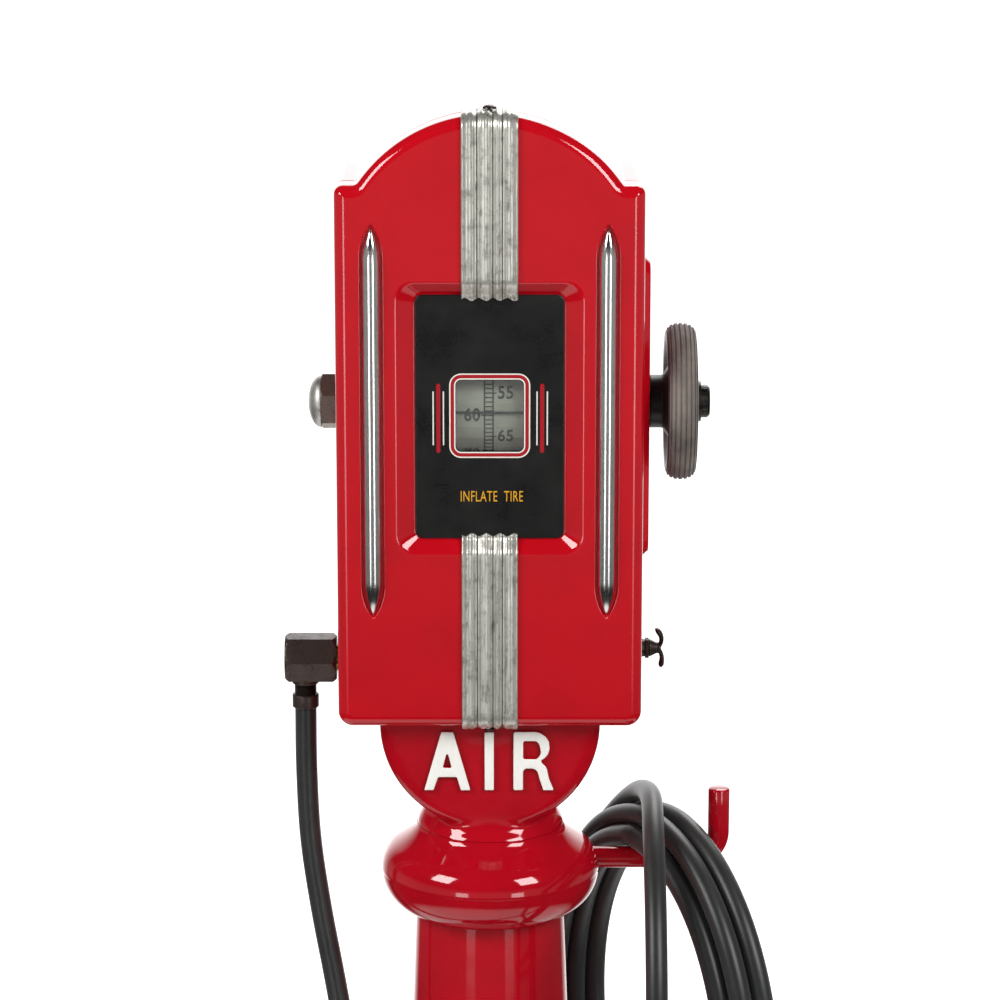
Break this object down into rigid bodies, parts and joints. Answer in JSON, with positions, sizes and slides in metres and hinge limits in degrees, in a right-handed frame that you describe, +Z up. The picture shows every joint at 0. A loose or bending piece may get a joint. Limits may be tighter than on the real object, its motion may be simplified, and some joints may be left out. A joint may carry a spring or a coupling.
{
  "type": "pedestal air meter",
  "caption": "Free-standing pedestal air meter: cast column, glazed pressure-setting head with handwheel and drum dial, bell, bleed cock, and an air hose coiled on a hook.",
  "frame": {"origin": "centre of the base flange on the floor", "axes": "+X right seen from the front, the window faces -Y, +Z up along the column"},
  "size_m": [0.4532, 0.4, 1.367],
  "materials": {
    "red_enamel": "gloss red stove enamel over cast iron and pressed steel",
    "black_enamel": "black vitreous enamel",
    "cast_zinc": "aged, stained cast metal",
    "chrome": "polished",
    "steel": "machined",
    "dark_bronze": "dark, oiled malleable iron",
    "brass": "machined",
    "glass": "clear",
    "rubber": "matte black rubber",
    "grip_rubber": "weathered grooved rubber",
    "drum_paint": "grey-green dial paint",
    "cord": "waxed cord"
  },
  "bodies": {
    "housing": {"acorn_nut": "steel", "air_chuck": "brass", "bell_gong": "brass", "bell_post": "steel", "bracket_screw": "steel", "case_gasket": "rubber", "cock_body": "dark_bronze", "cover_screw_1": "steel", "cover_screw_2": "steel", "cover_screw_3": "steel", "cover_screw_4": "steel", "dial_plate": "black_enamel", "diaphragm": "rubber", "drum_bracket": "steel", "front_cover": "red_enamel", "hammer_pivot": "steel", "hose_adapter": "dark_bronze", "hose_coil": "rubber", "hose_elbow": "dark_bronze", "hose_hook": "red_enamel", "hose_tail": "rubber", "hose_tie": "cord", "hose_tube": "rubber", "index_wire": "black_enamel", "inlet_tube": "brass", "inlet_union": "brass", "outlet_locknut": "steel", "outlet_nipple": "steel", "outlet_tube": "brass", "pedestal_base": "red_enamel", "pedestal_column": "red_enamel", "pedestal_ring": "red_enamel", "rear_case": "red_enamel", "regulator_body": "brass", "regulator_bonnet": "brass", "riser_lower_nut": "steel", "riser_pipe": "steel", "riser_top_nut": "steel", "setting_spring": "steel", "shaft_bushing": "brass", "sign_head": "red_enamel", "spear_left": "chrome", "spear_right": "chrome", "strap_bottom_screw": "steel", "strap_lower": "cast_zinc", "strap_top_screw": "steel", "strap_upper": "cast_zinc", "valve_spring": "steel", "window_glass": "glass"},
    "setting_wheel": {"handwheel": "grip_rubber", "wheel_washer": "steel", "wheel_cap_nut": "steel", "control_shaft": "steel", "dial_drum": "drum_paint"},
    "follower": {"spring_follower": "brass"},
    "valve": {"spring_plate": "brass", "valve_poppet": "brass"},
    "cock": {"cock_wing": "dark_bronze"},
    "hammer": {"bell_hammer": "steel"},
    "chuck_plunger": {"chuck_pin": "steel"}
  },
  "joints": [
    {"name": "wheel_turn", "type": "hinge", "parent": "housing", "child": "setting_wheel", "pos_m": [0, 0, 1.124], "axis": [1, 0, 0], "range_deg": [-55, 185]},
    {"name": "follower_travel", "type": "slide", "parent": "housing", "child": "follower", "axis": [1, 0, 0], "range_m": [-0.0013, 0.0042], "deforming": ["setting_spring"]},
    {"name": "valve_lift", "type": "slide", "parent": "housing", "child": "valve", "axis": [1, 0, 0], "range_m": [-0.0015, 0], "stiffness_N_per_m": 800, "deforming": ["valve_spring", "diaphragm"]},
    {"name": "cock_turn", "type": "hinge", "parent": "housing", "child": "cock", "pos_m": [0.12, 0, 0.921], "axis": [1, 0, 0], "range_deg": [0, 90]},
    {"name": "hammer_swing", "type": "hinge", "parent": "housing", "child": "hammer", "pos_m": [0.0402, 0.0352, 1.33], "axis": [0, 1, 0], "range_deg": [-12, 2]},
    {"name": "chuck_pin_push", "type": "slide", "parent": "housing", "child": "chuck_plunger", "axis": [0, 0, 1], "range_m": [0, 0.003], "stiffness_N_per_m": 300}
  ],
  "couplings": [
    {"joint": "follower_travel", "follows": "wheel_turn", "m_per_rad": 0.0012732}
  ]
}
